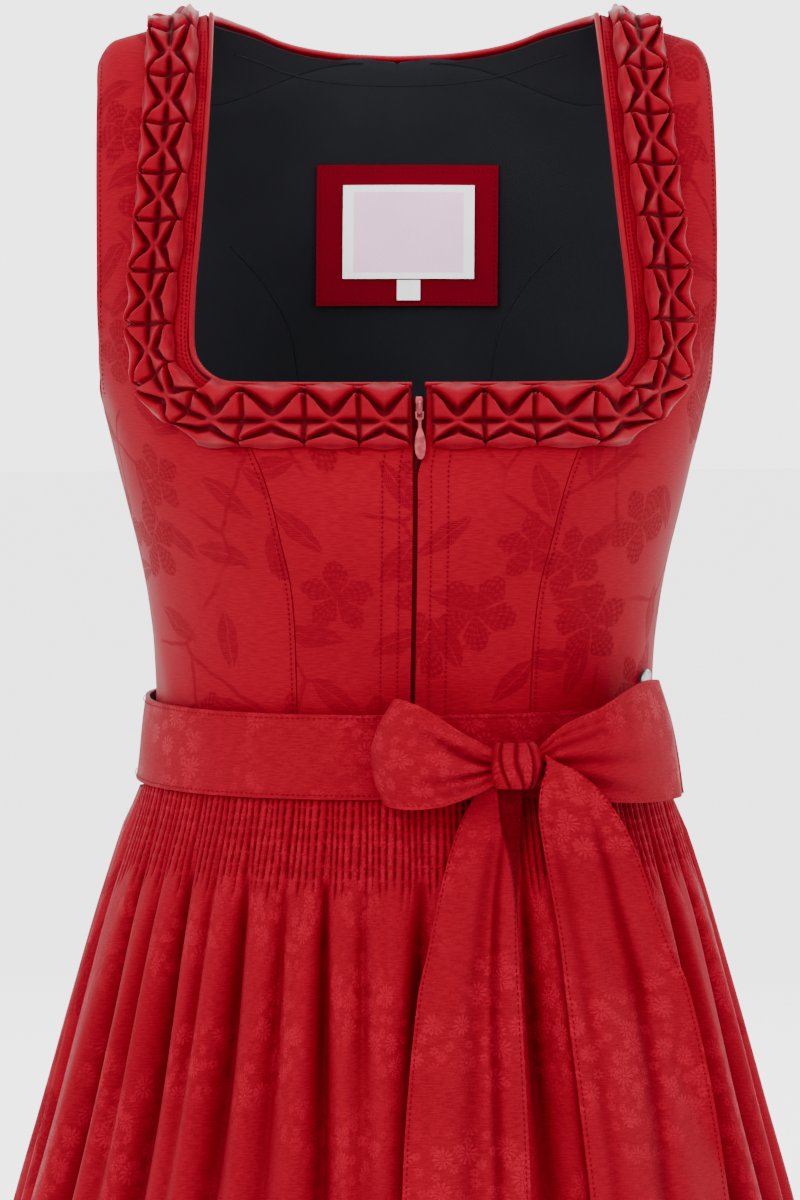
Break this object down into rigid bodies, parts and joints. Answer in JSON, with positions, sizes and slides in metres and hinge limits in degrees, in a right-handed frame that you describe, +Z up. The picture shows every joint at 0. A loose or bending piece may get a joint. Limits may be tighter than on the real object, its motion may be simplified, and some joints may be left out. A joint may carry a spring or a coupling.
{
  "type": "dirndl dress with apron",
  "caption": "Sleeveless square-necked folk dress with a zip front, box-pleated neck trim, gathered skirt and a smocked apron tied in a bow at the front.",
  "frame": {"origin": "midway between the shoulders at strap height, where a hanger holds the dress", "axes": "+Z up along the dress, the front faces -Y, +X to the right as seen from the front"},
  "size_m": [0.6017, 0.5115, 1.0317],
  "materials": {
    "dress_cloth": "satin",
    "apron_cloth": "matte",
    "lining_cloth": "matte",
    "label_cloth": "matte",
    "zip_tape_cloth": "matte",
    "zip_metal": "glossy",
    "button_metal": "polished"
  },
  "bodies": {
    "dress": {"bodice_front_left": "dress_cloth", "bodice_front_right": "dress_cloth", "bodice_side_left": "dress_cloth", "bodice_side_right": "dress_cloth", "bodice_back_centre": "dress_cloth", "bodice_back_left": "dress_cloth", "bodice_back_right": "dress_cloth", "neck_piping": "dress_cloth", "trim_left": "dress_cloth", "trim_right": "dress_cloth", "skirt_front": "dress_cloth", "skirt_back": "dress_cloth", "label_patch": "dress_cloth", "apron": "apron_cloth", "sash": "apron_cloth", "bow_knot": "apron_cloth", "bow_loop_left": "apron_cloth", "bow_loop_right": "apron_cloth", "bow_tail_left": "apron_cloth", "bow_tail_right": "apron_cloth", "lining_front_left": "lining_cloth", "lining_front_right": "lining_cloth", "lining_back": "lining_cloth", "label": "label_cloth", "size_tab": "label_cloth", "zip_tape": "zip_tape_cloth", "zip_slider": "zip_metal", "button": "button_metal"},
    "zip_pull": {"zip_pull": "zip_metal"}
  },
  "joints": [
    {"name": "pull_swing", "type": "hinge", "parent": "dress", "child": "zip_pull", "pos_m": [0.00146, -0.10235, -0.18621], "axis": [-1, 0, 0], "range_deg": [0, 130]}
  ]
}
